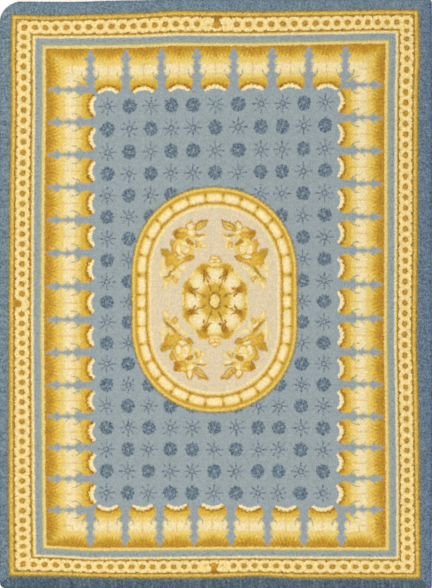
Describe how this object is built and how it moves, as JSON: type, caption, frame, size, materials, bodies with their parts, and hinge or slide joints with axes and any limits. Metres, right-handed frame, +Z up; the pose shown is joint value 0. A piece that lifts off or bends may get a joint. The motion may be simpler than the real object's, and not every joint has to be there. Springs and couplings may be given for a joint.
{
  "type": "wool pile rug with an aubusson pattern",
  "caption": "Rectangular wool pile rug lying flat, with an oval medallion, a field of small stars, and shell and pearl borders.",
  "frame": {"origin": "middle of the rug's outline, on the floor that it lies on", "axes": "+Z up out of the pile, +Y along the rug's length towards its far end, +X across its width"},
  "size_m": [2, 2.725, 0.0153],
  "materials": {
    "wool_pile": "cut wool pile, matt with a soft sheen"
  },
  "bodies": {
    "root": {"rug": "wool_pile"}
  },
  "joints": []
}
